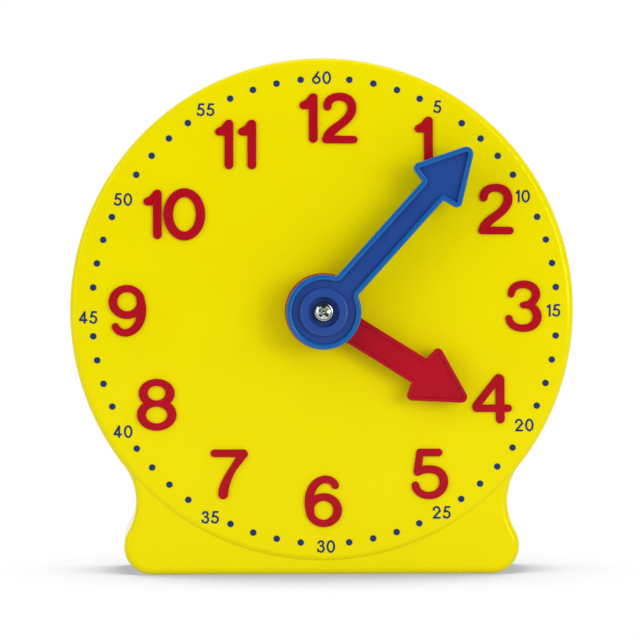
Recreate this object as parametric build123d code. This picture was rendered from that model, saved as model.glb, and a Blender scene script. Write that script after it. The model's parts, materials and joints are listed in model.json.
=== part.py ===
from build123d import *
import math
import os

os.makedirs("parts", exist_ok=True)

# A pupil's teaching clock. Millimetres. X is to the viewer's right, Z is up, and the dial faces -Y.
# The origin is on the table, under the hands' axis and half way through the case.

# Case, seen from the front
head_radius = 62.2
head_clearance = 3.2
foot_half_width = 49.0
foot_corner_radius = 7.0
waist_radius = 15.0

# Case, from front to back
case_depth = 28.0
dial_rise = 0.6
wall = 2.0
dial_edge_radius = 1.6
foot_edge_radius = 1.8
cover_thickness = 2.0
cover_edge_radius = 1.2
cover_lip_height = 3.0
cover_lip_thickness = 1.4
cover_fit = 0.15
shadow_gap = 0.25

# Case screws, their posts in the front case and their wells in the rear cover
case_screw_inset = 10.2
case_screw_angles = (0, 72, 288)
foot_screw_inset = 12.8
foot_screw_height = 11.8
case_screw_head_radius = 2.8
case_screw_head_height = 2.0
case_screw_shank_radius = 1.4
case_screw_length = 10.0
well_depth = 5.0
well_clearance = 0.6
well_wall = 1.4
well_floor = 1.8
post_wall = 2.1
screw_hole_clearance = 0.3
pilot_clearance = 0.04
pilot_extra_depth = 1.0

# Hour numerals. Each place is a distance in from the dial's edge and a clock angle.
numeral_height = 12.8
numeral_rise = 0.7
numeral_edge = 0.2
numeral_places = {
    1: (13.55, 30.91), 2: (12.56, 59.70), 3: (12.43, 88.79), 4: (14.88, 117.48),
    5: (13.81, 146.65), 6: (15.07, 179.72), 7: (15.73, 209.68), 8: (15.24, 240.47),
    9: (14.16, 270.05), 10: (18.69, 303.11), 11: (16.02, 332.46), 12: (14.72, 1.81),
}
pair_gaps = {10: 0.4, 11: 1.1, 12: 1.0}

# Printed minute track. The print sits a little off the hands' axis.
print_thickness = 0.12
minute_numeral_height = 3.15
minute_numeral_places = {
    5: (4.52, 29.43), 10: (5.21, 60.33), 15: (5.04, 90.01), 20: (4.70, 119.59),
    25: (4.14, 149.41), 30: (3.84, 179.10), 35: (4.13, 208.51), 40: (4.69, 238.82),
    45: (4.46, 268.42), 50: (5.98, 299.20), 55: (4.96, 329.83), 60: (4.81, 359.79),
}
minute_stroke = 0.47
minute_digit_gap = 0.45
dot_inset = 4.79
dot_radius = 0.8
dot_ring_shift = (0.64, -0.23)

# Hands, front to back
hour_hand_stand_off = 3.0
hour_hand_thickness = 2.6
hour_hand_recess = 0.45
hand_gap = 0.8
minute_hand_thickness = 4.0
minute_hand_recess = 1.3
minute_well_floor = 1.4

# Hands, seen from the front. The real hour hand stands a little short of its place, by the lag in degrees.
clock_minutes = 7.0
clock_hours = 4.0
hour_hand_lag = 1.7
minute_tip_inset = 8.45
minute_shaft_width = 7.0
minute_head_length = 13.95
minute_head_angle = 29.0
minute_head_sweep = 11.0
minute_tip_radius = 1.8
minute_barb_radius = 1.4
minute_hub_radius = 9.2
minute_rim = 1.3
minute_boss_wall = 2.15
hour_tip_inset = 20.75
hour_shaft_width = 7.0
hour_head_length = 13.7
hour_head_angle = 29.0
hour_head_sweep = 11.0
hour_tip_radius = 1.5
hour_barb_radius = 1.2
hour_hub_radius = 9.4
hour_rim = 1.0
hour_boss_wall = 2.1
hub_joint_radius = 1.0
minute_rim_edge = 0.4
hour_rim_edge = 0.2

# Hand screw, and the proportions of every screw
hand_screw_head_radius = 2.42
hand_screw_head_height = 1.9
hand_screw_shank_radius = 1.2
hand_screw_length = 8.0
hand_screw_turn = 20.0
hand_screw_well_clearance = 1.38
screw_side_share = 0.45
screw_crown_share = 0.66
screw_bulge_share = (0.9, 0.82)
screw_point_radius = 0.3
recess_span_share = 1.2
recess_wing_share = 0.3
recess_core_share = 0.28
recess_depth_share = 0.68
recess_taper = 18.0

# Gear train: minute pinion to intermediate wheel, intermediate pinion to hour wheel
pinion_teeth = 12
intermediate_teeth = 36
hour_teeth = 48
module = 1.0
pressure_angle = 25.0
addendum = 0.9
dedendum = 1.2
tooth_thinning = 0.14
minute_pinion_width = 3.4
wheel_width = 3.0
wheel_gap = 0.4
end_play = 0.1
web_thickness = 1.4
web_hub_margin = 1.0
wheel_rim = 3.0

# Shafts and bearings
running_clearance = 0.07
seat_clearance = 0.03
key_head_seat = 0.22
key_flat_depth = 0.45
key_end_gap = 0.2
arbor_shoulder = 0.6
arbor_stand_out = 0.3
journal_step = 0.4
journal_overrun = 0.5
tube_wall = 2.0
tube_shoulder = 0.6
tube_flat_depth = 0.6
hand_collar_wall = 1.4
dial_bearing_wall = 3.0
dial_bearing_length = 2.0
hour_washer_thickness = 0.4
axle_radius = 1.5
axle_boss_wall = 2.5
axle_seat_depth = 0.8
intermediate_washer_thickness = 0.5
spring_thickness = 0.3
spring_rise = 0.6
spring_inset = 0.5

# Gear plate
plate_thickness = 2.0
plate_bearing_wall = 3.0
plate_bearing_height = 1.1
plate_post_clearance = 5.5
upper_plate_screw_angle = 60.0
lower_plate_screw_angle = 144.0
plate_screw_head_radius = 2.4
plate_screw_head_height = 1.6
plate_screw_shank_radius = 1.1
plate_screw_length = 8.0

# A cut runs past the surface it opens by this much, and points closer than this are one point
overcut = 1.0
same_point = 1e-4
# A rounded edge takes no more than this share of the wall it is on
edge_share = 0.4

# Places worked out from the sizes above, front to back
dial_y = -case_depth / 2
foot_y = dial_y + dial_rise
dial_back_y = dial_y + wall
back_y = case_depth / 2
cover_y = back_y - cover_thickness
well_floor_y = cover_y - well_depth
hour_hand_back_y = dial_y - hour_hand_stand_off
hour_hand_front_y = hour_hand_back_y - hour_hand_thickness
minute_hand_back_y = hour_hand_front_y - hand_gap
minute_hand_front_y = minute_hand_back_y - minute_hand_thickness
screw_seat_y = minute_hand_back_y - minute_well_floor
arbor_shoulder_y = hour_hand_front_y - arbor_stand_out
dial_bearing_y = dial_back_y + dial_bearing_length
hour_wheel_y = dial_bearing_y + hour_washer_thickness + end_play
hour_wheel_back_y = hour_wheel_y + wheel_width
minute_pinion_y = hour_wheel_back_y + wheel_gap - end_play
minute_pinion_back_y = minute_pinion_y + minute_pinion_width
intermediate_wheel_y = hour_wheel_back_y + wheel_gap
intermediate_back_y = intermediate_wheel_y + wheel_width
intermediate_front_y = hour_wheel_y - 2 * end_play
axle_boss_y = intermediate_front_y - end_play
plate_bearing_y = minute_pinion_back_y + spring_thickness + spring_rise + end_play / 2
plate_y = plate_bearing_y + plate_bearing_height
plate_back_y = plate_y + plate_thickness
axle_washer_y = intermediate_back_y + end_play
plate_axle_boss_y = axle_washer_y + intermediate_washer_thickness

# Sizes worked out from the sizes above, seen from the front
axis_height = head_radius + head_clearance
axis = (0.0, axis_height)
centre_distance = module * (pinion_teeth + intermediate_teeth) / 2
hour_module = 2 * centre_distance / (pinion_teeth + hour_teeth)
intermediate_axis = (0.0, axis_height - centre_distance)
minute_angle = 6.0 * clock_minutes
hour_angle = 30.0 * (clock_hours + clock_minutes / 60) - hour_hand_lag
minute_reach = head_radius - minute_tip_inset
hour_reach = head_radius - hour_tip_inset
minute_well_radius = hand_screw_head_radius + hand_screw_well_clearance
minute_boss_radius = minute_well_radius + minute_boss_wall
key_radius = hand_screw_head_radius - key_head_seat
key_flat = key_radius - key_flat_depth
arbor_radius = key_radius + arbor_shoulder
journal_radius = arbor_radius - journal_step
tube_bore = arbor_radius + running_clearance
tube_radius = tube_bore + tube_wall
tube_seat_radius = tube_radius - tube_shoulder
tube_seat_flat = tube_seat_radius - tube_flat_depth
hour_boss_radius = tube_seat_radius + hour_boss_wall
dial_bearing_radius = tube_radius + running_clearance + dial_bearing_wall
plate_bearing_radius = journal_radius + running_clearance + plate_bearing_wall
spring_radius = plate_bearing_radius - spring_inset
axle_boss_radius = axle_radius + seat_clearance + axle_boss_wall
case_pilot_radius = case_screw_shank_radius + pilot_clearance
case_post_radius = case_pilot_radius + post_wall
plate_pilot_radius = plate_screw_shank_radius + pilot_clearance
plate_post_radius = plate_pilot_radius + post_wall
well_bore_radius = case_screw_head_radius + well_clearance


def slab(shape, front, back):
    """A front view, drawn as x and z, made solid from one y to another."""
    return extrude(Plane.XZ.offset(-back) * shape, back - front)


def disc(radius, front, back, centre=axis):
    """A round bar along y."""
    return slab(Pos(*centre) * Circle(radius), front, back)


def tube(outer, inner, front, back, centre=axis):
    """A round bar with a round hole right through."""
    return disc(outer, front, back, centre) - disc(inner, front, back, centre)


def turned(points, centre=axis):
    """A solid turned about an axis along y, from points given as radius and y."""
    profile = make_face(Polyline(*points, close=True))
    return Pos(centre[0], 0, centre[1]) * revolve(profile, Axis.Y)


def at_y(shape, y):
    """The edges that lie in one plane across y."""
    return [edge for edge in shape.edges()
            if all(abs(point.Y - y) < same_point for point in edge.positions((0, 0.5, 1)))]


def write(name, *solids):
    """One file for one named piece, which may be a group of separate solids."""
    pieces = [solid for shape in solids for solid in shape.solids()]
    shape = pieces[0] if len(pieces) == 1 else Compound(pieces)
    export_step(shape, f"parts/{name}.step")


def face_of(*curves):
    """A flat face inside a closed loop of curves."""
    return make_face([edge for curve in curves for edge in curve.edges()])


def case_outline(inset=0.0):
    """The case from the front: a round head, hollow waists and a foot with round corners."""
    head = head_radius - inset
    corner = foot_corner_radius - inset
    waist = waist_radius + inset
    head_at = Vector(*axis)
    corner_at = Vector(foot_half_width - foot_corner_radius, foot_corner_radius)
    # The waist's centre is where it touches both the head's circle and the corner's circle from outside
    from_head = head_radius + waist_radius
    from_corner = foot_corner_radius + waist_radius
    apart = corner_at - head_at
    along = (from_head ** 2 - from_corner ** 2 + apart.length ** 2) / (2 * apart.length)
    across = math.sqrt(from_head ** 2 - along ** 2)
    unit = apart.normalized()
    waist_at = head_at + unit * along + Vector(-unit.Y, unit.X) * across
    to_head = (head_at - waist_at).normalized()
    to_corner = (corner_at - waist_at).normalized()
    heel = corner_at - Vector(0, corner)
    toe = corner_at + (Vector(0, -1) - to_corner).normalized() * corner
    hip = corner_at - to_corner * corner
    hollow = waist_at + (to_head + to_corner).normalized() * waist
    shoulder = head_at - to_head * head
    right = [ThreePointArc(heel, toe, hip), ThreePointArc(hip, hollow, shoulder)]
    left = [mirror(edge, Plane.YZ) for edge in right]
    over = ThreePointArc(shoulder, head_at + Vector(0, head), Vector(-shoulder.X, shoulder.Y))
    under = Line(Vector(-heel.X, heel.Y), heel)
    return face_of(*right, *left, over, under)


def polar(radius, degrees, centre=axis):
    """x and z of a point at a clock angle (clockwise from twelve) round a centre."""
    turn = math.radians(degrees)
    return (centre[0] + radius * math.sin(turn), centre[1] + radius * math.cos(turn))


def case_screw_places():
    """Three screws round the head and two in the foot."""
    head = [polar(head_radius - case_screw_inset, angle) for angle in case_screw_angles]
    foot = [(side * (foot_half_width - foot_screw_inset), foot_screw_height) for side in (-1, 1)]
    return head + foot


def plate_screw_places():
    """Four screws, clear of the hour wheel above and the intermediate wheel below."""
    post_reach = plate_post_clearance + plate_post_radius
    upper = hour_module * (hour_teeth / 2 + addendum) + post_reach
    lower = module * (intermediate_teeth / 2 + addendum) + post_reach
    places = []
    for side in (-1, 1):
        places.append(polar(upper, side * upper_plate_screw_angle))
        places.append(polar(lower, side * lower_plate_screw_angle, intermediate_axis))
    return places


def front_case():
    """The shell: raised dial, side walls, foot, dial bearing, axle boss and screw posts."""
    foot = slab(case_outline(), foot_y, cover_y - shadow_gap)
    foot = fillet(at_y(foot, foot_y), foot_edge_radius)
    head = disc(head_radius, dial_y, cover_y - shadow_gap)
    head = fillet(at_y(head, dial_y), dial_edge_radius)
    outside = foot + head
    inside = slab(case_outline(wall), foot_y + wall, back_y) + disc(head_radius - wall, dial_back_y, back_y)
    shell = outside - inside
    root_y = dial_y + wall / 2
    posts = disc(dial_bearing_radius, root_y, dial_bearing_y)
    posts += disc(axle_boss_radius, root_y, axle_boss_y, intermediate_axis)
    for place in case_screw_places():
        posts += disc(case_post_radius, root_y, well_floor_y, place)
    for place in plate_screw_places():
        posts += disc(plate_post_radius, root_y, plate_y, place)
    shell += posts & outside
    shell -= disc(tube_radius + running_clearance, dial_y - overcut, dial_bearing_y + overcut)
    shell -= disc(axle_radius + seat_clearance, dial_back_y - axle_seat_depth, axle_boss_y + overcut,
                  intermediate_axis)
    case_pilot_depth = case_screw_length - well_floor + pilot_extra_depth
    for place in case_screw_places():
        shell -= disc(case_pilot_radius, well_floor_y - case_pilot_depth, well_floor_y + overcut, place)
    plate_pilot_depth = plate_screw_length - plate_thickness + pilot_extra_depth
    for place in plate_screw_places():
        shell -= disc(plate_pilot_radius, plate_y - plate_pilot_depth, plate_y + overcut, place)
    return shell


def rear_cover():
    """The back: a plate with a lip that locates inside the walls and a deep well round each screw."""
    plate = slab(case_outline(), cover_y, back_y)
    plate = fillet(at_y(plate, back_y), min(cover_edge_radius, edge_share * 2 * cover_thickness))
    lip_y = cover_y - cover_lip_height
    lip = slab(case_outline(wall + cover_fit), lip_y, cover_y)
    lip -= slab(case_outline(wall + cover_fit + cover_lip_thickness), lip_y - overcut, cover_y)
    cover = plate + lip
    for place in case_screw_places():
        cover += disc(well_bore_radius + well_wall, well_floor_y, cover_y + cover_thickness / 2, place)
    for place in case_screw_places():
        cover -= disc(well_bore_radius, well_floor_y + well_floor, back_y + overcut, place)
        cover -= disc(case_screw_shank_radius + screw_hole_clearance, well_floor_y - overcut, back_y, place)
    return cover


def stroke_line(stations):
    """The smooth line along a stroke's middle, and its two sides. Each station is x, z and half the width."""
    centres = [Vector(x, z) for x, z, _ in stations]
    line = Spline(*centres) if len(centres) > 2 else Line(*centres)
    left = []
    right = []
    for (_, _, half), centre in zip(stations, centres):
        along = line.tangent_at(centre)
        side = Vector(-along.Y, along.X) * half
        left.append(centre + side)
        right.append(centre - side)
    return line, left, right


def brush(*stations):
    """A stroke with round ends, as one face."""
    line, left, right = stroke_line(stations)
    start = line.tangent_at(0)
    end = line.tangent_at(1)
    start_tip = Vector(*stations[0][:2]) - start * stations[0][2]
    end_tip = Vector(*stations[-1][:2]) + end * stations[-1][2]
    if len(stations) > 2:
        sides = [Spline(*left, tangents=(start, end)), Spline(*right, tangents=(start, end))]
    else:
        sides = [Line(*left), Line(*right)]
    start_cap = ThreePointArc(left[0], start_tip, right[0])
    end_cap = ThreePointArc(left[-1], end_tip, right[-1])
    return face_of(*sides, start_cap, end_cap)


def curved(*stations):
    """A bent stroke as three faces: the stroke with square ends, and a round nib at each end."""
    _, left, right = stroke_line(stations)
    body = face_of(Spline(*left), Spline(*right), Line(left[0], right[0]), Line(left[-1], right[-1]))
    nibs = [Pos(x, z) * Circle(half - nib_ease) for x, z, half in (stations[0], stations[-1])]
    return [body, *nibs]


def ring(centre, outer, inner, inner_centre=None):
    """An ellipse with an elliptical hole; outer and inner are half widths and half heights."""
    return Pos(*centre) * Ellipse(*outer) - Pos(*(inner_centre or centre)) * Ellipse(*inner)


# Bold round digits, drawn 12.8 high with the lower left corner of each at 0, 0.
# Each digit is a list of faces that overlap: straight strokes, bent strokes, rings and fillings.

drawn_height = 12.8
nib_ease = 0.01


def bold_0():
    return [ring((5.15, 6.45), (5.15, 6.45), (2.75, 4.2))]


def bold_1():
    stem = brush((3.42, 1.12, 1.12), (3.42, 11.15, 1.1))
    corners = ((1.0, 8.28), (3.4, 8.28), (3.4, 11.9), (2.66, 12.0), (1.55, 10.66), (0.5, 10.1))
    return [stem, Pos(1.0, 9.26) * Circle(1.0), make_face(Polyline(*corners, close=True))]


def bold_2():
    arch = curved(
        (1.38, 9.13, 1.06), (2.15, 10.85, 1.02), (4.28, 11.52, 1.01), (6.72, 10.62, 1.1), (7.42, 8.62, 1.12),
        (6.6, 6.58, 1.09), (4.92, 4.95, 1.07), (2.72, 3.27, 1.13), (1.5, 1.8, 1.18),
    )
    return [*arch, brush((1.0, 1.0, 1.0), (7.87, 0.95, 0.95))]


def bold_3():
    upper = curved(
        (1.46, 9.36, 0.88), (2.25, 11.05, 0.95), (4.57, 11.78, 0.99), (6.9, 10.95, 1.05), (7.62, 9.28, 1.08),
        (6.6, 7.35, 0.98), (4.35, 6.66, 0.78),
    )
    lower = curved(
        (4.35, 6.66, 0.78), (6.95, 5.95, 1.0), (7.93, 3.86, 1.15), (7.0, 1.75, 1.05), (4.46, 0.94, 0.94),
        (1.85, 1.75, 0.94), (0.94, 3.36, 0.9),
    )
    return [*upper, *lower]


def bold_4():
    stem = brush((6.99, 1.1, 1.1), (6.85, 10.9, 1.15))
    bar = brush((1.27, 3.8, 0.94), (8.96, 3.8, 0.94))
    slope = brush((0.99, 4.35, 0.95), (6.32, 11.22, 0.97))
    return [stem, bar, slope, Pos(1.27, 4.13) * Circle(1.27), Pos(6.6, 11.0) * Circle(1.32)]


def bold_5():
    bar = brush((2.1, 11.58, 0.96), (6.72, 11.58, 0.96))
    stem = brush((2.1, 11.58, 0.92), (1.5, 6.95, 1.0))
    bowl = curved(
        (1.55, 6.75, 1.0), (4.72, 7.43, 0.99), (7.22, 6.46, 1.07), (8.02, 4.22, 1.1), (7.03, 1.92, 1.0),
        (4.33, 0.91, 0.91), (1.85, 1.8, 0.94), (0.97, 3.47, 0.97),
    )
    return [bar, stem, *bowl]


def bold_6():
    back = curved(
        (7.71, 10.3, 0.94), (6.7, 11.47, 0.95), (4.95, 11.8, 0.96), (2.31, 10.08, 1.06), (1.26, 6.44, 1.15),
        (1.56, 3.6, 1.06),
    )
    return [ring((4.9, 4.21), (4.51, 4.21), (2.39, 2.33), (4.82, 4.16)), *back]


def bold_7():
    leg = curved(
        (7.73, 10.75, 1.08), (6.62, 9.11, 0.96), (5.46, 7.46, 0.89), (4.15, 4.97, 1.05), (3.41, 3.02, 1.19),
        (3.13, 1.3, 1.26),
    )
    return [brush((0.96, 11.42, 0.96), (8.2, 11.42, 0.96)), Pos(8.09, 11.23) * Circle(1.16), *leg]


def bold_8():
    loops = Pos(4.9, 9.2) * Ellipse(4.46, 3.63) + Pos(4.9, 3.95) * Ellipse(4.9, 3.95)
    return [loops - Pos(4.87, 9.27) * Ellipse(2.18, 1.79) - Pos(4.87, 3.89) * Ellipse(2.61, 2.06)]


def bold_9():
    return [Pos(9.41, drawn_height) * Rot(0, 0, 180) * face for face in bold_6()]


bold_digits = (bold_0, bold_1, bold_2, bold_3, bold_4, bold_5, bold_6, bold_7, bold_8, bold_9)


def span_of(faces):
    """Lowest and highest corners of a group of faces."""
    boxes = [face.bounding_box() for face in faces]
    low = (min(box.min.X for box in boxes), min(box.min.Y for box in boxes))
    high = (max(box.max.X for box in boxes), max(box.max.Y for box in boxes))
    return low, high


def row_of_digits(digits, gap):
    """Digits side by side, centred on 0, 0. Each digit is a list of faces."""
    places = []
    reach = 0.0
    for faces in digits:
        low, high = span_of(faces)
        places.append((reach - low[0], -(low[1] + high[1]) / 2))
        reach += high[0] - low[0] + gap
    middle = (reach - gap) / 2
    return [[Pos(x - middle, z) * face for face in faces] for (x, z), faces in zip(places, digits)]


def raised(face):
    """One face of a numeral standing on the dial, with its front edge rounded where it isn't a square end."""
    solid = slab(face, dial_y - numeral_rise, dial_y)
    top = at_y(solid, dial_y - numeral_rise)
    if any(edge.geom_type == GeomType.BSPLINE for edge in top):
        top = [edge for edge in top if edge.geom_type != GeomType.LINE]
    return fillet(top, min(numeral_edge, edge_share * numeral_rise))


def hour_numeral(hour):
    """One raised hour numeral, standing on the dial."""
    size = numeral_height / drawn_height
    digits = [[scale(face, by=size) for face in bold_digits[int(digit)]()] for digit in str(hour)]
    inset, angle = numeral_places[hour]
    x, z = polar(head_radius - inset, angle)
    solids = []
    for faces in row_of_digits(digits, pair_gaps.get(hour, 0) * size):
        strokes = [raised(Pos(x, z) * face) for face in faces]
        solid = strokes[0]
        for stroke in strokes[1:]:
            solid += stroke
        solids.append(solid)
    return solids


# Thin upright digits of the minute track, drawn 3.15 high, each as the centre lines of its strokes

thin_drawn_height = 3.15
thin_half_width = 1.05
thin_bowl_radius = 1.02
thin_digits = {
    "1": [[(0.24, 2.4), (0.78, 2.9)], [(0.78, 2.9), (0.78, 0.24)]],
    "2": [[(0.32, 2.2), (0.55, 2.72), (1.05, 2.91), (1.58, 2.68), (1.76, 2.18), (1.5, 1.6)],
          [(1.5, 1.6), (0.34, 0.24)], [(0.34, 0.24), (1.85, 0.24)]],
    "3": [[(0.42, 2.42), (0.68, 2.8), (1.05, 2.9), (1.45, 2.72), (1.56, 2.3), (1.4, 1.9), (0.9, 1.72)],
          [(0.9, 1.72), (1.42, 1.55), (1.7, 1.02), (1.48, 0.46), (0.98, 0.24), (0.5, 0.42), (0.27, 0.85)]],
    "4": [[(1.45, 0.24), (1.45, 2.88)], [(1.45, 2.88), (0.28, 0.88)], [(0.28, 0.88), (1.95, 0.88)]],
    "5": [[(0.72, 2.91), (1.68, 2.91)], [(0.72, 2.91), (0.45, 1.7)],
          [(0.45, 1.7), (0.98, 1.86), (1.52, 1.62), (1.74, 1.06), (1.5, 0.48), (0.98, 0.24), (0.5, 0.38),
           (0.27, 0.7)]],
    "6": [[(1.5, 2.91), (0.38, 1.38)]],
}


def thin_ring(half_height):
    """The round part of a nought or a six, standing on the line."""
    inner = (thin_half_width - minute_stroke, half_height - minute_stroke)
    return ring((thin_half_width, half_height), (thin_half_width, half_height), inner)


def thin_digit(digit):
    """One thin digit as a flat face."""
    if digit == "0":
        return thin_ring(thin_drawn_height / 2)
    strokes = [brush(*[(x, z, minute_stroke / 2) for x, z in stroke]) for stroke in thin_digits[digit]]
    face = strokes[0]
    for stroke in strokes[1:]:
        face += stroke
    if digit == "6":
        face += thin_ring(thin_bowl_radius)
    return face


def minute_numerals():
    """The printed minute numbers, upright, one at every fifth minute."""
    solids = []
    size = minute_numeral_height / thin_drawn_height
    for minute, (inset, angle) in minute_numeral_places.items():
        x, z = polar(head_radius - inset, angle)
        digits = [[scale(thin_digit(digit), by=size)] for digit in str(minute)]
        for (face,) in row_of_digits(digits, minute_digit_gap):
            solids.append(slab(Pos(x, z) * face, dial_y - print_thickness, dial_y))
    return solids


def minute_dots():
    """A printed dot at every minute that has no number."""
    solids = []
    for minute in range(60):
        if minute % 5:
            centre = (axis[0] + dot_ring_shift[0], axis[1] + dot_ring_shift[1])
            place = polar(head_radius - dot_inset, 6 * minute, centre)
            solids.append(disc(dot_radius, dial_y - print_thickness, dial_y, place))
    return solids


def hand_outline(reach, half, head_length, head_angle, sweep, tip_radius, barb_radius, hub_radius):
    """A hand that points up from 0, 0: a round hub, a straight shaft and an arrow head with round corners."""
    notch = reach - head_length
    slope = math.tan(math.radians(head_angle))
    lean = math.tan(math.radians(sweep))
    apex = reach + tip_radius / math.sin(math.radians(head_angle)) - tip_radius
    # The barb is where the head's side meets its rear edge, which leans forward by the sweep
    barb = (apex - notch + half * lean) * slope / (1 + slope * lean)
    barb_z = notch + (barb - half) * lean
    right = [(barb, barb_z), (half, notch), (half, 0)]
    left = [(-x, z) for x, z in reversed(right)]
    arrow = make_face(Polyline(*left, (0, apex), *right, close=True))
    arrow = fillet(arrow.vertices().sort_by(Axis.Y)[-1], tip_radius)
    barbs = [corner for corner in arrow.vertices() if abs(abs(corner.X) - barb) < same_point]
    arrow = fillet(barbs, barb_radius)
    hand = arrow + Circle(hub_radius)
    joint_z = math.sqrt(hub_radius ** 2 - half ** 2)
    joints = [corner for corner in hand.vertices() if abs(corner.Y - joint_z) < same_point]
    return fillet(joints, hub_joint_radius)


def double_flat(radius, flat):
    """A round shaft's section with two flats, each a flat's distance from the centre."""
    return Circle(radius) & Rectangle(4 * radius, 2 * flat)


def point_hand(shape, degrees):
    """Turn a hand, drawn pointing up from 0, 0, to its clock angle on the hands' axis."""
    return Pos(*axis) * Rot(0, 0, -degrees) * shape


def minute_hand():
    """Channel section with a rounded rim, and a boss with a deep well for the screw."""
    outline = hand_outline(minute_reach, minute_shaft_width / 2, minute_head_length, minute_head_angle,
                           minute_head_sweep, minute_tip_radius, minute_barb_radius, minute_hub_radius)
    channel = point_hand(offset(outline, -minute_rim) - Circle(minute_boss_radius), minute_angle)
    hand = slab(point_hand(outline, minute_angle), minute_hand_front_y, minute_hand_back_y)
    hand -= slab(channel, minute_hand_front_y, minute_hand_front_y + minute_hand_recess)
    hand = fillet(at_y(hand, minute_hand_front_y), min(minute_rim_edge, edge_share * minute_rim))
    hand += disc(arbor_radius + hand_collar_wall, screw_seat_y, arbor_shoulder_y)
    hand -= disc(minute_well_radius, minute_hand_front_y - overcut, screw_seat_y)
    socket = point_hand(double_flat(key_radius + seat_clearance, key_flat + seat_clearance), minute_angle)
    return hand - slab(socket, screw_seat_y - overcut, arbor_shoulder_y + overcut)


def hour_hand():
    """Flat hand with a low rim, keyed on the hour gear's tube."""
    outline = hand_outline(hour_reach, hour_shaft_width / 2, hour_head_length, hour_head_angle,
                           hour_head_sweep, hour_tip_radius, hour_barb_radius, hour_hub_radius)
    channel = point_hand(offset(outline, -hour_rim) - Circle(hour_boss_radius), hour_angle)
    hand = slab(point_hand(outline, hour_angle), hour_hand_front_y, hour_hand_back_y)
    hand -= slab(channel, hour_hand_front_y, hour_hand_front_y + hour_hand_recess)
    hand = fillet(at_y(hand, hour_hand_front_y), min(hour_rim_edge, edge_share * hour_rim))
    socket = double_flat(tube_seat_radius + seat_clearance, tube_seat_flat + seat_clearance)
    socket = point_hand(socket, hour_angle)
    return hand - slab(socket, hour_hand_front_y - overcut, hour_hand_back_y + overcut)


def screw(head_radius, head_height, shank_radius, length):
    """Pan head screw with a cross recess. The head's seat is at y 0 and the shank points to +y."""
    side = screw_side_share * head_height
    crown = screw_crown_share * head_radius
    bulge = (screw_bulge_share[0] * head_radius, -screw_bulge_share[1] * head_height)
    head = revolve(face_of(
        Line((0, 0), (head_radius, 0)),
        Line((head_radius, 0), (head_radius, -side)),
        ThreePointArc((head_radius, -side), bulge, (crown, -head_height)),
        Line((crown, -head_height), (0, -head_height)),
        Line((0, -head_height), (0, 0)),
    ), Axis.Y)
    shank = turned([
        (0, 0), (shank_radius, 0), (shank_radius, length - shank_radius),
        (screw_point_radius, length), (0, length),
    ], (0, 0))
    span = recess_span_share * head_radius
    wing = recess_wing_share * head_radius
    cross = Rectangle(span, wing) + Rectangle(wing, span) + Circle(recess_core_share * head_radius)
    depth = recess_depth_share * head_height
    recess = extrude(Plane.XZ.offset(head_height) * cross, -depth, taper=recess_taper)
    return head + shank - recess


def hand_screw():
    """The screw that holds the minute hand on its arbor."""
    body = screw(hand_screw_head_radius, hand_screw_head_height, hand_screw_shank_radius, hand_screw_length)
    return Pos(axis[0], screw_seat_y, axis[1]) * Rot(0, hand_screw_turn, 0) * body


def screws_from_behind(places, seat_y, *sizes):
    """Identical screws that go in from the back."""
    body = Rot(0, 0, 180) * screw(*sizes)
    return [Pos(x, seat_y, z) * body for x, z in places]


def gear_outline(teeth, gear_module):
    """Involute teeth round a circle, with the first tooth's middle on +x."""
    slant = math.radians(pressure_angle)
    pitch = gear_module * teeth / 2
    base = pitch * math.cos(slant)
    tip = pitch + addendum * gear_module
    root = pitch - dedendum * gear_module
    half_tooth = math.pi / (2 * teeth) - tooth_thinning / (2 * pitch)

    def roll(radius):
        """Angle that an involute has unwound when it reaches a radius."""
        angle = math.acos(min(1, base / radius))
        return math.tan(angle) - angle

    def point(radius, turn):
        return Vector(radius * math.cos(turn), radius * math.sin(turn))

    edges = []
    step = 2 * math.pi / teeth
    start = max(base, root)
    for tooth in range(teeth):
        middle = tooth * step

        def flank(radius, side):
            return point(radius, middle + side * (half_tooth + roll(pitch) - roll(max(radius, base))))

        for side in (-1, 1):
            if root < base:
                edges.append(Line(flank(root, side), flank(base, side)))
            edges.append(ThreePointArc(flank(start, side), flank((start + tip) / 2, side), flank(tip, side)))
        edges.append(ThreePointArc(flank(tip, -1), point(tip, middle), flank(tip, 1)))
        next_root = point(root, middle + step - (half_tooth + roll(pitch) - roll(max(root, base))))
        edges.append(ThreePointArc(flank(root, 1), point(root, middle + step / 2), next_root))
    return face_of(*edges)


def gear(teeth, gear_module, front, back, centre, turn):
    """A gear whose first tooth is turned to an angle in the front view."""
    return slab(Pos(*centre) * Rot(0, 0, turn) * gear_outline(teeth, gear_module), front, back)


def web_pockets(teeth, gear_module, hub_radius, front, back, centre):
    """The two shallow rings that leave a thin web between a wheel's hub and its rim."""
    rim_radius = gear_module * (teeth / 2 - dedendum) - wheel_rim
    depth = (back - front - web_thickness) / 2
    in_front = tube(rim_radius, hub_radius, front, front + depth, centre)
    behind = tube(rim_radius, hub_radius, back - depth, back, centre)
    return in_front + behind


def minute_arbor():
    """The shaft through the middle: keyed end for the minute hand, pinion and rear journal."""
    key = point_hand(double_flat(key_radius, key_flat), minute_angle)
    arbor = slab(key, screw_seat_y + key_end_gap, arbor_shoulder_y)
    arbor += disc(arbor_radius, arbor_shoulder_y, minute_pinion_y)
    arbor += gear(pinion_teeth, module, minute_pinion_y, minute_pinion_back_y, axis, -90)
    arbor += disc(journal_radius, minute_pinion_back_y, plate_back_y + journal_overrun)
    pilot_end_y = screw_seat_y + hand_screw_length + pilot_extra_depth
    return arbor - disc(hand_screw_shank_radius + pilot_clearance, screw_seat_y - overcut, pilot_end_y)


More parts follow.
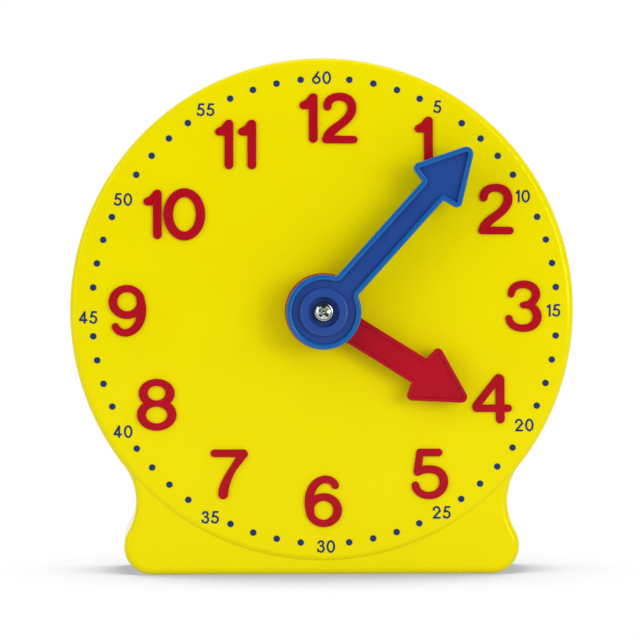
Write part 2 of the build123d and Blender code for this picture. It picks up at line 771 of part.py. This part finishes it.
def intermediate_gear():
    """Wheel driven by the minute pinion, and the pinion that drives the hour wheel, in one moulding."""
    wheel = gear(intermediate_teeth, module, intermediate_wheel_y, intermediate_back_y, intermediate_axis,
                 90 + 180 / intermediate_teeth)
    hub_radius = hour_module * (pinion_teeth / 2 + addendum) + web_hub_margin
    wheel -= web_pockets(intermediate_teeth, module, hub_radius, intermediate_wheel_y, intermediate_back_y,
                         intermediate_axis)
    pinion = gear(pinion_teeth, hour_module, intermediate_front_y, intermediate_wheel_y,
                  intermediate_axis, 90)
    bore = disc(axle_radius + running_clearance, intermediate_front_y - overcut,
                intermediate_back_y + overcut, intermediate_axis)
    return wheel + pinion - bore


def hour_gear():
    """Wheel on a long tube that comes out through the dial and carries the hour hand."""
    wheel = gear(hour_teeth, hour_module, hour_wheel_y, hour_wheel_back_y, axis, -90 + 180 / hour_teeth)
    wheel -= web_pockets(hour_teeth, hour_module, dial_bearing_radius, hour_wheel_y, hour_wheel_back_y, axis)
    wheel += disc(tube_radius, hour_hand_back_y, hour_wheel_y)
    seat = point_hand(double_flat(tube_seat_radius, tube_seat_flat), hour_angle)
    wheel += slab(seat, hour_hand_front_y, hour_hand_back_y)
    return wheel - disc(tube_bore, hour_hand_front_y - overcut, hour_wheel_back_y + overcut)


def intermediate_axle():
    """Steel pin, seated in the front case's boss and in the gear plate."""
    return disc(axle_radius, dial_back_y - axle_seat_depth, plate_back_y, intermediate_axis)


def gear_plate():
    """Plate behind the gears, with bearings for the arbor and the pin and a hole at each corner."""
    corners = [Pos(*place) * Circle(plate_post_radius) for place in plate_screw_places()]
    plate = slab(make_hull(Sketch(corners).edges()), plate_y, plate_back_y)
    plate += disc(plate_bearing_radius, plate_bearing_y, plate_y + plate_thickness / 2)
    plate += disc(axle_boss_radius, plate_axle_boss_y, plate_y + plate_thickness / 2, intermediate_axis)
    plate -= disc(journal_radius + running_clearance, plate_bearing_y - overcut, plate_back_y + overcut)
    plate -= disc(axle_radius + seat_clearance, plate_axle_boss_y - overcut, plate_back_y + overcut,
                  intermediate_axis)
    hole_radius = plate_screw_shank_radius + screw_hole_clearance
    for place in plate_screw_places():
        plate -= disc(hole_radius, plate_y - overcut, plate_back_y + overcut, place)
    return plate


def friction_spring():
    """Disc spring between the gear plate's bearing and the minute pinion."""
    narrow = journal_radius + screw_hole_clearance
    front = plate_bearing_y - spring_thickness - spring_rise
    return turned([
        (narrow, front), (narrow, front + spring_thickness),
        (spring_radius, plate_bearing_y), (spring_radius, plate_bearing_y - spring_thickness),
    ])


def hour_gear_washer():
    """Thin washer between the dial bearing and the hour wheel."""
    return tube(dial_bearing_radius, tube_radius + screw_hole_clearance, dial_bearing_y,
                dial_bearing_y + hour_washer_thickness)


def intermediate_washer():
    """Washer on the pin, between the intermediate wheel and the gear plate."""
    return tube(axle_boss_radius, axle_radius + running_clearance, axle_washer_y, plate_axle_boss_y,
                intermediate_axis)


def case_screws():
    """The screws that hold the rear cover, seated on the floors of its wells."""
    return screws_from_behind(case_screw_places(), well_floor_y + well_floor, case_screw_head_radius,
                              case_screw_head_height, case_screw_shank_radius, case_screw_length)


def gear_plate_screws():
    """The screws that hold the gear plate on its posts."""
    return screws_from_behind(plate_screw_places(), plate_back_y, plate_screw_head_radius,
                              plate_screw_head_height, plate_screw_shank_radius, plate_screw_length)


write("front_case", front_case())
write("rear_cover", rear_cover())
for hour in range(1, 13):
    write(f"hour_numeral_{hour:02d}", *hour_numeral(hour))
write("minute_numerals", *minute_numerals())
write("minute_dots", *minute_dots())
write("minute_hand", minute_hand())
write("hour_hand", hour_hand())
write("hand_screw", hand_screw())
write("minute_arbor", minute_arbor())
write("intermediate_gear", intermediate_gear())
write("hour_gear", hour_gear())
write("intermediate_axle", intermediate_axle())
write("gear_plate", gear_plate())
write("friction_spring", friction_spring())
write("hour_gear_washer", hour_gear_washer())
write("intermediate_washer", intermediate_washer())
write("case_screws", *case_screws())
write("gear_plate_screws", *gear_plate_screws())
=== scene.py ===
import json
import math

import bmesh
import bpy
import numpy as np
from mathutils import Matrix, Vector


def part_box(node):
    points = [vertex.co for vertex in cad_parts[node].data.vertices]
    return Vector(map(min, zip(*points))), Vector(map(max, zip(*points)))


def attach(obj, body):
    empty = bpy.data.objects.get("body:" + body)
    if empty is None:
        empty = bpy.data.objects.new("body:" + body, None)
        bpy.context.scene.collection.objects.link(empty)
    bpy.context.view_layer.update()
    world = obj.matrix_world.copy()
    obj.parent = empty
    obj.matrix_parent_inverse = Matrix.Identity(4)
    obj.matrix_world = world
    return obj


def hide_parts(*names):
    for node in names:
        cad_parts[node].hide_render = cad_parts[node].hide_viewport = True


# Looks of a pupil's teaching clock: a glossy moulded case, raised numerals, printed minutes and two hands.
# Everything is in metres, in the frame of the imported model.

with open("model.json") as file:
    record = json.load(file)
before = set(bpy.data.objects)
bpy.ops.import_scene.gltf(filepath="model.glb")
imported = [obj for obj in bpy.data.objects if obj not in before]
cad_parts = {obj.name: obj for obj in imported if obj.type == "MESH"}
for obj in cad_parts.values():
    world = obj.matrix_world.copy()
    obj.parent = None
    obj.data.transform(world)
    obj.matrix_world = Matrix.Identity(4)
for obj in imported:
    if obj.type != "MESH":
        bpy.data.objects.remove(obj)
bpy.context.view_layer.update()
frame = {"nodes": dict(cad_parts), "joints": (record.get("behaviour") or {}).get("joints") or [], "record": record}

MM = 0.001

# Places that more than one section uses
minute_turn = next(joint for joint in frame["joints"] if joint["name"] == "minute_turn")
axis_height = minute_turn["pos_m"][2]
dial_y = -14 * MM


def linear(hex_colour):
    """An sRGB hex colour as linear red, green, blue and alpha."""
    parts = [int(hex_colour[i:i + 2], 16) / 255 for i in (1, 3, 5)]
    return tuple(p / 12.92 if p <= 0.04045 else ((p + 0.055) / 1.055) ** 2.4 for p in parts) + (1.0,)


def add(tree, kind, settings=None, **sockets):
    """Adds one node. Settings are its own properties. A socket is given by its name, with _ for a space, or
    by _ and its number, and takes a value or another node's output."""
    node = tree.nodes.new(kind)
    for name, value in (settings or {}).items():
        setattr(node, name, value)
    for name, value in sockets.items():
        socket = node.inputs[int(name[1:])] if name[0] == "_" else node.inputs[name.replace("_", " ")]
        if isinstance(value, bpy.types.NodeSocket):
            tree.links.new(value, socket)
        else:
            socket.default_value = value
    return node


def per_size(size_mm):
    """A noise texture's scale for blotches of about this many millimetres."""
    return 1 / (size_mm * MM)


def new_material(name):
    """An empty node material, its output, and the place of each point in the object's own coordinates."""
    material = bpy.data.materials.new(name)
    material.use_nodes = True
    tree = material.node_tree
    tree.nodes.clear()
    output = add(tree, "ShaderNodeOutputMaterial")
    place = add(tree, "ShaderNodeTexCoord").outputs["Object"]
    return material, tree, output, place


# Noise lies mostly between these two values, and an eased map takes them to the ends of its own range
noise_low = 0.2
noise_high = 0.8
eased = {"interpolation_type": "SMOOTHSTEP"}

# A Mix node's colours are its sockets 6 and 7, and the mixed colour is its output 2
of_colours = {"data_type": "RGBA"}
colour_result = 2

# Moulded plastic. The real grain is about 0.05 mm across, and is drawn coarser so that it shows.
plastic_ior = 1.5
colour_drift_mm = 14
sink_mark_mm = 22
sink_depth = 0.02 * MM
gloss_patch_mm = 6
gloss_drift = 0.03


def moulded_plastic(name, colour, deeper, roughness, level, shine="#FFFFFF", grain_mm=0.45,
                    grain_depth_mm=0.0016, paint=None):
    """Injection-moulded plastic: a colour that drifts slowly to a deeper one, a gloss that drifts a little
    round its mean, and the tool's fine grain on top of slow sink marks. Shine is the colour of the
    highlights. Paint, where given, changes the colour by place."""
    material, tree, output, place = new_material(name)
    drift = add(tree, "ShaderNodeTexNoise", Vector=place, Scale=per_size(colour_drift_mm))
    share = add(tree, "ShaderNodeMapRange", eased, Value=drift.outputs["Fac"], From_Min=noise_low,
                From_Max=noise_high)
    base = add(tree, "ShaderNodeMix", of_colours, Factor=share.outputs["Result"], _6=linear(colour),
               _7=linear(deeper)).outputs[colour_result]
    if paint:
        base = paint(tree, place, base)
    sink_marks = add(tree, "ShaderNodeTexNoise", Vector=place, Scale=per_size(sink_mark_mm), Detail=0.0)
    sunk = add(tree, "ShaderNodeBump", Height=sink_marks.outputs["Fac"], Distance=sink_depth, Strength=1.0)
    tool_grain = add(tree, "ShaderNodeTexNoise", Vector=place, Scale=per_size(grain_mm), Detail=1.0)
    grained = add(tree, "ShaderNodeBump", Height=tool_grain.outputs["Fac"], Distance=grain_depth_mm * MM,
                  Strength=1.0, Normal=sunk.outputs["Normal"])
    patches = add(tree, "ShaderNodeTexNoise", Vector=place, Scale=per_size(gloss_patch_mm))
    gloss = add(tree, "ShaderNodeMapRange", eased, Value=patches.outputs["Fac"], From_Min=noise_low,
                From_Max=noise_high, To_Min=roughness - gloss_drift, To_Max=roughness + gloss_drift)
    shader = add(tree, "ShaderNodeBsdfPrincipled", Base_Color=base, Roughness=gloss.outputs["Result"],
                 Normal=grained.outputs["Normal"], IOR=plastic_ior, Specular_IOR_Level=level,
                 Specular_Tint=linear(shine))
    tree.links.new(shader.outputs["BSDF"], output.inputs["Surface"])
    return material


# Pad-printed ink
ink_roughness = 0.5
ink_level = 0.25
ink_mottle_mm = 0.4
ink_film_mm = 0.3
ink_film_depth = 0.003 * MM


def pad_printed_ink(name, colour, thinner):
    """Pad-printed ink: a matt film, a little uneven, with a fine mottle where the pad left it thinner."""
    material, tree, output, place = new_material(name)
    mottle = add(tree, "ShaderNodeTexNoise", Vector=place, Scale=per_size(ink_mottle_mm))
    share = add(tree, "ShaderNodeMapRange", eased, Value=mottle.outputs["Fac"], From_Min=noise_low,
                From_Max=noise_high)
    base = add(tree, "ShaderNodeMix", of_colours, Factor=share.outputs["Result"], _6=linear(colour),
               _7=linear(thinner))
    unevenness = add(tree, "ShaderNodeTexNoise", Vector=place, Scale=per_size(ink_film_mm))
    film = add(tree, "ShaderNodeBump", Height=unevenness.outputs["Fac"], Distance=ink_film_depth,
               Strength=1.0)
    shader = add(tree, "ShaderNodeBsdfPrincipled", Base_Color=base.outputs[colour_result],
                 Roughness=ink_roughness, Normal=film.outputs["Normal"], Specular_IOR_Level=ink_level)
    tree.links.new(shader.outputs["BSDF"], output.inputs["Surface"])
    return material


# Worked metal
metal_gloss_patch_mm = 0.8
metal_gloss_less = 0.05
metal_gloss_more = 0.06


def worked_metal(name, colour, darker, roughness, mark_mm, mark_depth_mm, stretch=(1, 1, 1)):
    """Metal with the marks of its working: noise squeezed or drawn out along the axes gives both their
    darker colour and their depth, and the roughness drifts a little."""
    material, tree, output, place = new_material(name)
    drawn_out = add(tree, "ShaderNodeMapping", Vector=place, Scale=stretch)
    marks = add(tree, "ShaderNodeTexNoise", Vector=drawn_out.outputs["Vector"], Scale=per_size(mark_mm),
                Detail=3.0)
    share = add(tree, "ShaderNodeMapRange", eased, Value=marks.outputs["Fac"], From_Min=noise_low,
                From_Max=noise_high)
    base = add(tree, "ShaderNodeMix", of_colours, Factor=share.outputs["Result"], _6=linear(colour),
               _7=linear(darker))
    patches = add(tree, "ShaderNodeTexNoise", Vector=place, Scale=per_size(metal_gloss_patch_mm))
    gloss = add(tree, "ShaderNodeMapRange", eased, Value=patches.outputs["Fac"], From_Min=noise_low,
                From_Max=noise_high, To_Min=roughness - metal_gloss_less,
                To_Max=roughness + metal_gloss_more)
    marked = add(tree, "ShaderNodeBump", Height=marks.outputs["Fac"], Distance=mark_depth_mm * MM,
                 Strength=1.0)
    shader = add(tree, "ShaderNodeBsdfPrincipled", Base_Color=base.outputs[colour_result], Metallic=1.0,
                 Roughness=gloss.outputs["Result"], Normal=marked.outputs["Normal"])
    tree.links.new(shader.outputs["BSDF"], output.inputs["Surface"])
    return material


# Rim of the minute hand, painted a lighter blue as a highlight: it lies outside the boss, at the very front of the
# hand
rim_highlight_colour = "#0C5CA6"
rim_depth = 0.9 * MM
rim_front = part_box("minute_hand")[0].y
boss_edge = 6.02 * MM
boss_edge_blur = 0.1 * MM


def painted_rim_highlight(tree, place, base):
    """A painted highlight: the thin, rounded rim of the minute hand is painted a clearer blue than the channel's
    floor, in place of the light it catches. How far a point belongs to the rim is a product: from 0 to 1
    across the boss's edge, going out from the hands' axis, times from 0 to 1 from the rim's foot to half its
    depth, going to the front."""
    spot = add(tree, "ShaderNodeSeparateXYZ", Vector=place)
    above_axis = add(tree, "ShaderNodeMath", {"operation": "SUBTRACT"}, _0=spot.outputs["Z"],
                     _1=axis_height)
    from_axis = add(tree, "ShaderNodeCombineXYZ", X=spot.outputs["X"], Y=0.0, Z=above_axis.outputs["Value"])
    reach = add(tree, "ShaderNodeVectorMath", {"operation": "LENGTH"}, _0=from_axis.outputs["Vector"])
    outside = add(tree, "ShaderNodeMapRange", Value=reach.outputs["Value"],
                  From_Min=boss_edge - boss_edge_blur, From_Max=boss_edge + boss_edge_blur)
    in_front = add(tree, "ShaderNodeMapRange", Value=spot.outputs["Y"], From_Min=rim_front + rim_depth,
                   From_Max=rim_front + rim_depth / 2)
    rim = add(tree, "ShaderNodeMath", {"operation": "MULTIPLY"}, _0=outside.outputs["Result"],
              _1=in_front.outputs["Result"])
    # Painted highlight: the rim gets a lighter blue in place of the light that its rounded edge catches
    both = add(tree, "ShaderNodeMix", of_colours, Factor=rim.outputs["Value"], _6=base,
               _7=linear(rim_highlight_colour))
    return both.outputs[colour_result]


# ABS, injection moulded in a polished tool: a full yellow with a soft gloss, and hardly any grain
case_plastic = moulded_plastic("yellow_moulded_abs", "#EDDF00", "#EBDC00", roughness=0.15, level=0.5,
                               shine="#FFF860")
# ABS, moulded: a dark red, less glossy than the case, so that the numerals show no glare
numeral_plastic = moulded_plastic("red_moulded_abs_numerals", "#B0041A", "#AA0318", roughness=0.24,
                                  level=0.4, shine="#FFA0A8")
# ABS, moulded: the same dark red with a softly shining face
hour_plastic = moulded_plastic("red_moulded_abs_hand", "#B2021D", "#AA011A", roughness=0.18, level=0.45,
                               shine="#FFB0B8")
# Polypropylene, moulded: a deep blue all over, with a painted highlight that gives the thin rim a clearer blue
minute_plastic = moulded_plastic("blue_moulded_polypropylene_hand", "#224997", "#224591", roughness=0.15,
                                 level=0.42, paint=painted_rim_highlight)
# Acetal, moulded in its natural colour: milky white with a waxy gloss
gear_plastic = moulded_plastic("natural_moulded_acetal", "#E8E5DC", "#DEDACE", roughness=0.42, level=0.4)
# ABS, moulded in a spark-eroded tool: a dull black with an even fine grain
plate_plastic = moulded_plastic("black_moulded_abs", "#232324", "#1C1C1D", roughness=0.5, level=0.5,
                                grain_mm=0.3, grain_depth_mm=0.006)
# Pad-printing ink on ABS: flat dark blue marks, matt against the glossy dial
ink = pad_printed_ink("blue_pad_printing_ink", "#042A62", "#0B326A")
# Zinc-plated steel, cold headed: bright and faintly green from its passivation, with light and dark patches
plated_steel = worked_metal("zinc_plated_steel", "#D6DACF", "#AEB3A6", roughness=0.11, mark_mm=0.5,
                            mark_depth_mm=0.0015)
# Spring steel strip, rolled: a grey shine with fine marks drawn out along X
rolled_steel = worked_metal("rolled_spring_steel", "#C9C9CB", "#A9A9AD", roughness=0.26, mark_mm=0.25,
                            mark_depth_mm=0.0015, stretch=(0.1, 1, 1))
# Brass bar, turned: a warm shine with fine marks round the shaft, close together along Y
turned_brass = worked_metal("turned_brass", "#D9B25A", "#B98F3C", roughness=0.24, mark_mm=0.25,
                            mark_depth_mm=0.0015, stretch=(0.2, 1.5, 0.2))

finishes = {
    "case_yellow": case_plastic,
    "numeral_red": numeral_plastic,
    "hour_hand_red": hour_plastic,
    "minute_hand_blue": minute_plastic,
    "print_blue": ink,
    "screw_steel": plated_steel,
    "spring_steel": rolled_steel,
    "arbor_brass": turned_brass,
    "gear_plastic": gear_plastic,
    "plate_plastic": plate_plastic,
}
for part in frame["record"]["subparts"]:
    piece = frame["nodes"][part["node"]]
    piece.data.materials.clear()
    piece.data.materials.append(finishes[part["material_slot"]])

# Hand screw, made again with a domed crown and a cross recess with sloping walls
screw_low, screw_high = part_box("hand_screw")
screw_x = (screw_low.x + screw_high.x) / 2
screw_z = (screw_low.z + screw_high.z) / 2
screw_radius = (screw_high.x - screw_low.x) / 2
head_height = 1.9 * MM
crown_rise = 0.62 * MM
head_corner = 0.4 * MM
shank_radius = 1.2 * MM
tip_radius = 0.3 * MM
tip_length = 1.2 * MM
merge_distance = 0.001 * MM

# Cross recess: turned from upright, with its sizes across the head as shares of the head's radius
recess_turn = math.radians(45)
recess_depth = 1.25 * MM
arm_reach = 0.64
arm_half_width = 0.15
arm_wall = 0.07
arm_slope = 0.75


def screw_recess(x, z):
    """How deep the cross recess is at a place on the head, given in shares of the head's radius. Each of the
    two arms is a slot with sloping walls. Its floor is flat near the middle, and rises evenly over the outer
    three quarters of its reach. The deeper arm counts."""
    along = x * math.cos(recess_turn) + z * math.sin(recess_turn)
    across = z * math.cos(recess_turn) - x * math.sin(recess_turn)

    def arm(lengthwise, sideways):
        wall = np.clip((arm_half_width + arm_wall / 2 - np.abs(sideways)) / arm_wall, 0, 1)
        floor_slope = np.clip((arm_reach - np.abs(lengthwise)) / (arm_slope * arm_reach), 0, 1)
        return wall * floor_slope

    return recess_depth * np.maximum(arm(along, across), arm(across, along))


def domed_screw(corner_steps=10, crown_steps=63, turns=240):
    """The screw as a profile turned about its axis. The profile goes from the point along the shank and the
    head's seat to a straight side, a quarter-round corner and a shallow crown. The crown falls away with the
    square of the distance from the axis, and the recess sinks it."""
    seat_y = screw_low.y + head_height
    below_radii = [0, tip_radius, shank_radius, shank_radius, screw_radius]
    below_y = [screw_high.y, screw_high.y, screw_high.y - tip_length, seat_y, seat_y]

    corner = np.linspace(0, math.pi / 2, corner_steps)
    flat_radius = screw_radius - head_corner
    share = np.linspace(1, 0, crown_steps + 1)[1:]
    crown_low = screw_low.y + crown_rise
    radii = np.concatenate((below_radii, flat_radius + head_corner * np.cos(corner), flat_radius * share))
    depths = np.concatenate((below_y, crown_low + head_corner * (1 - np.sin(corner)),
                             screw_low.y + crown_rise * share ** 2))

    rings = len(radii)
    angle = np.linspace(0, 2 * math.pi, turns, endpoint=False)
    x = radii[:, None] * np.cos(angle)
    z = radii[:, None] * np.sin(angle)
    on_head = np.arange(rings)[:, None] >= len(below_radii)
    y = depths[:, None] + np.where(on_head, screw_recess(x / screw_radius, z / screw_radius), 0)
    points = np.stack((x + screw_x, y, z + screw_z), axis=-1).reshape(-1, 3)

    ring = np.arange(rings - 1)[:, None] * turns
    column = np.arange(turns)
    following = (column + 1) % turns
    quads = np.stack((ring + column, ring + following, ring + turns + following, ring + turns + column),
                     axis=-1)

    mesh = bpy.data.meshes.new("hand_screw_domed")
    mesh.from_pydata(points.tolist(), [], quads.reshape(-1, 4).tolist())
    shell = bmesh.new()
    shell.from_mesh(mesh)
    bmesh.ops.remove_doubles(shell, verts=shell.verts, dist=merge_distance)
    bmesh.ops.recalc_face_normals(shell, faces=shell.faces)
    shell.to_mesh(mesh)
    shell.free()
    mesh.polygons.foreach_set("use_smooth", np.ones(len(mesh.polygons), dtype=bool))

    piece = bpy.data.objects.new("hand_screw_domed", mesh)
    bpy.context.scene.collection.objects.link(piece)
    mesh.materials.append(plated_steel)
    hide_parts("hand_screw")
    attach(piece, "minute_works")


domed_screw()

# Floor: a white card two metres square
floor_half = 1.0
floor_mesh = bpy.data.meshes.new("floor")
floor_corners = [(floor_half * x, floor_half * y, 0) for x, y in ((-1, -1), (1, -1), (1, 1), (-1, 1))]
floor_mesh.from_pydata(floor_corners, [], [(0, 1, 2, 3)])
floor = bpy.data.objects.new("floor", floor_mesh)
bpy.context.scene.collection.objects.link(floor)

# The card's shade near the clock: how far off the clock still counts, how open the card has to be to stay
# white, at what openness it is darkest, how slowly the shade sets in, and the light left where it is darkest
fibre_mm = 3
shade_reach = 70 * MM
open_enough = 0.88
openness_when_darkest = 0.5
shade_onset = 1.8
darkest = 0.48


def white_card():
    """White card, which lights the clock as plain dull white. The camera, glossy rays and transmission rays
    see it plain white, darker only where the clock keeps the soft light off it."""
    material, tree, output, place = new_material("white_card")
    fibres = add(tree, "ShaderNodeTexNoise", Vector=place, Scale=per_size(fibre_mm))
    paper = add(tree, "ShaderNodeMix", of_colours, Factor=fibres.outputs["Fac"], _6=linear("#E1E1E1"),
                _7=linear("#E3E3E3"))
    card = add(tree, "ShaderNodeBsdfDiffuse", Color=paper.outputs[colour_result])
    openness = add(tree, "ShaderNodeAmbientOcclusion", Distance=shade_reach)
    closed = add(tree, "ShaderNodeMapRange", Value=openness.outputs["AO"], From_Min=open_enough,
                 From_Max=openness_when_darkest)
    gradual = add(tree, "ShaderNodeMath", {"operation": "POWER"}, _0=closed.outputs["Result"],
                  _1=shade_onset)
    light_left = add(tree, "ShaderNodeMapRange", Value=gradual.outputs["Value"], To_Min=1.0,
                     To_Max=darkest)
    white = add(tree, "ShaderNodeEmission", Color=(1, 1, 1, 1), Strength=light_left.outputs["Result"])
    ray = add(tree, "ShaderNodeLightPath")
    straight = add(tree, "ShaderNodeMath", {"operation": "MAXIMUM"}, _0=ray.outputs["Is Camera Ray"],
                   _1=ray.outputs["Is Transmission Ray"])
    seen = add(tree, "ShaderNodeMath", {"operation": "MAXIMUM"}, _0=straight.outputs["Value"],
               _1=ray.outputs["Is Glossy Ray"])
    surface = add(tree, "ShaderNodeMixShader", Fac=seen.outputs["Value"], _1=card.outputs["BSDF"],
                  _2=white.outputs["Emission"])
    tree.links.new(surface.outputs["Shader"], output.inputs["Surface"])
    return material


floor_mesh.materials.append(white_card())

# Studio: white paper behind the clock, and a dim room in front of it that the gloss picks up. Where the room
# ends and where the paper is fully white are given as the Y of a mirrored ray's direction.
soft_fill = 0.7
room_in_front = 0.03
paper_behind = 1.0
room_ends_y = -0.1
paper_starts_y = 0.5


def studio():
    """The world. It lights the clock evenly with the soft fill. The camera and transmission rays see it
    plain white, and glossy rays see it go from the dim room in front to the white paper behind."""
    world = bpy.data.worlds.new("studio")
    world.use_nodes = True
    bpy.context.scene.world = world
    tree = world.node_tree
    tree.nodes.clear()
    sky_place = add(tree, "ShaderNodeTexCoord")
    direction = add(tree, "ShaderNodeSeparateXYZ", Vector=sky_place.outputs["Generated"])
    mirrored = add(tree, "ShaderNodeMapRange", eased, Value=direction.outputs["Y"], From_Min=room_ends_y,
                   From_Max=paper_starts_y, To_Min=room_in_front, To_Max=paper_behind)
    ray = add(tree, "ShaderNodeLightPath")
    lighting = add(tree, "ShaderNodeMix", Factor=ray.outputs["Is Glossy Ray"], _2=soft_fill,
                   _3=mirrored.outputs["Result"])
    straight = add(tree, "ShaderNodeMath", {"operation": "MAXIMUM"}, _0=ray.outputs["Is Camera Ray"],
                   _1=ray.outputs["Is Transmission Ray"])
    strength = add(tree, "ShaderNodeMix", Factor=straight.outputs["Value"], _2=lighting.outputs["Result"],
                   _3=1.0)
    paper = add(tree, "ShaderNodeBackground", Color=(1, 1, 1, 1), Strength=strength.outputs["Result"])
    output = add(tree, "ShaderNodeOutputWorld")
    tree.links.new(paper.outputs["Background"], output.inputs["Surface"])


studio()


def softbox(name, place, width, height, watts):
    """A rectangular softbox that faces the dial's middle."""
    lamp = bpy.data.lights.new(name, "AREA")
    lamp.shape = "RECTANGLE"
    lamp.size = width
    lamp.size_y = height
    lamp.energy = watts
    lamp_object = bpy.data.objects.new(name, lamp)
    lamp_object.location = place
    towards = Vector((0.0, dial_y, axis_height)) - Vector(place)
    lamp_object.rotation_euler = towards.to_track_quat("-Z", "Y").to_euler()
    bpy.context.scene.collection.objects.link(lamp_object)


softbox("left_softbox", place=(-1.0, -0.75, 0.35), width=0.5, height=0.9, watts=3.2)
softbox("right_softbox", place=(0.6, -1.05, 0.3), width=0.4, height=0.6, watts=3.1)
softbox("low_right_softbox", place=(0.85, -0.85, 0.1), width=0.4, height=0.6, watts=2.5)
softbox("top_softbox", place=(0.0, 0.1, 1.3), width=1.0, height=0.6, watts=3.0)

# Camera: a little to the left of the clock and a little above it. Its field is the width that the picture
# takes in at the dial, and it aims just beside and below the hands' axis.
camera_distance = 1.0
camera_left = math.radians(2.2)
camera_up = math.radians(2.2)
camera_field = 157.9 * MM
camera_aim = Vector((-0.59 * MM, dial_y, axis_height - 2.31 * MM))
camera_data = bpy.data.cameras.new("camera")
camera_data.sensor_width = 36.0
camera_data.lens = camera_data.sensor_width * camera_distance / camera_field
camera_data.clip_start = 0.05
camera_data.dof.use_dof = False
camera = bpy.data.objects.new("camera", camera_data)
towards_camera = Vector((-math.sin(camera_left) * math.cos(camera_up),
                         -math.cos(camera_left) * math.cos(camera_up), math.sin(camera_up)))
camera.location = camera_aim + towards_camera * camera_distance
camera.rotation_euler = (-towards_camera).to_track_quat("-Z", "Y").to_euler()
bpy.context.scene.collection.objects.link(camera)
bpy.context.scene.camera = camera
bpy.context.scene.view_settings.view_transform = "Standard"
